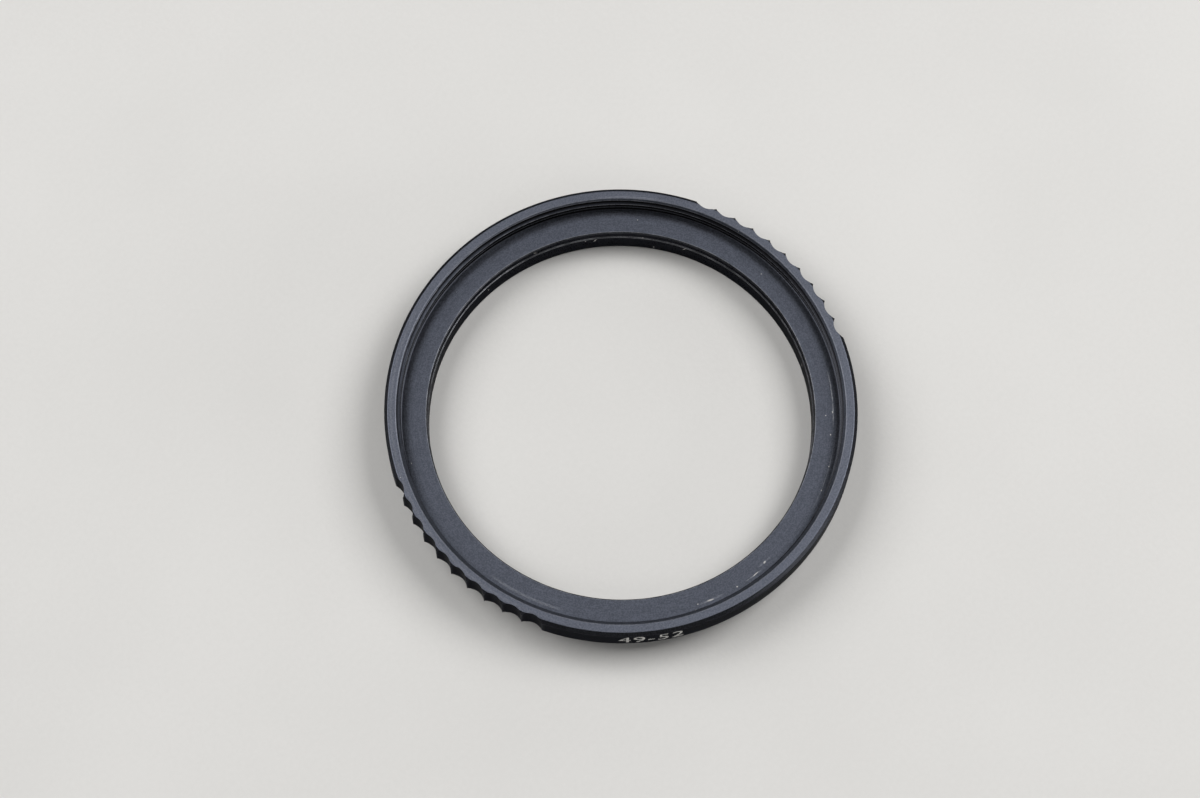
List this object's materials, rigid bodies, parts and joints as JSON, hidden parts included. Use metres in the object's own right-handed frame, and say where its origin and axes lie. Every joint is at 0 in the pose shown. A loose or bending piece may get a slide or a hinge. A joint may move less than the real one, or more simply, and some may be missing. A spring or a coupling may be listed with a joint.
{
  "type": "step-up filter ring",
  "caption": "Thin black anodised adapter ring with a male lens thread below, a wider female filter thread above a flat ledge, an open bore and scalloped grips.",
  "frame": {"origin": "on the ring's axis, at the plane of the male spigot's end, on which the ring lies", "axes": "+Z along the axis towards the filter side, +X through the middle of one of the scalloped grips"},
  "size_m": [0.055, 0.055, 0.0062],
  "materials": {
    "black_anodised": "satin black anodised"
  },
  "bodies": {
    "root": {"step_up_ring": "black_anodised"}
  },
  "joints": []
}
